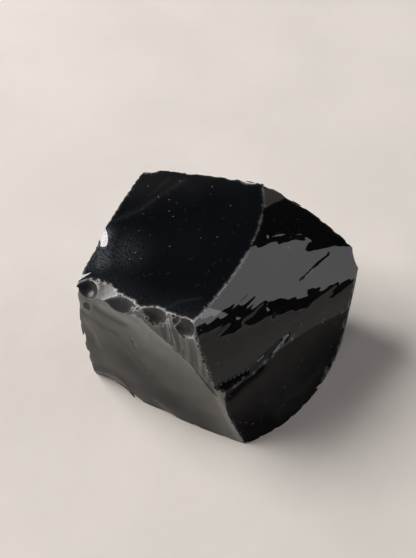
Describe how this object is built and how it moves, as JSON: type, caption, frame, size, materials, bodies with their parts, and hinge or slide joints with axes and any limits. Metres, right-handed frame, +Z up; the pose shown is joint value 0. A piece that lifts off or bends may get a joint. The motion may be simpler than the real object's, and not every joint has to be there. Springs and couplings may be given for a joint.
{
  "type": "obsidian chunk",
  "caption": "Loose chunk of black volcanic glass, with a flat top, curved conchoidal fracture faces, a chipped rim and a flat base.",
  "frame": {"origin": "on the surface the stone lies on, under the middle of its bounding box", "axes": "+X to the right and +Z up as the stone is seen from the front, where the edge between its two front faces points towards -Y"},
  "size_m": [0.0632, 0.0561, 0.0335],
  "materials": {
    "obsidian": "black volcanic glass, mirror gloss on fresh breaks and satin on worn ones"
  },
  "bodies": {
    "root": {"obsidian_chunk": "obsidian"}
  },
  "joints": []
}
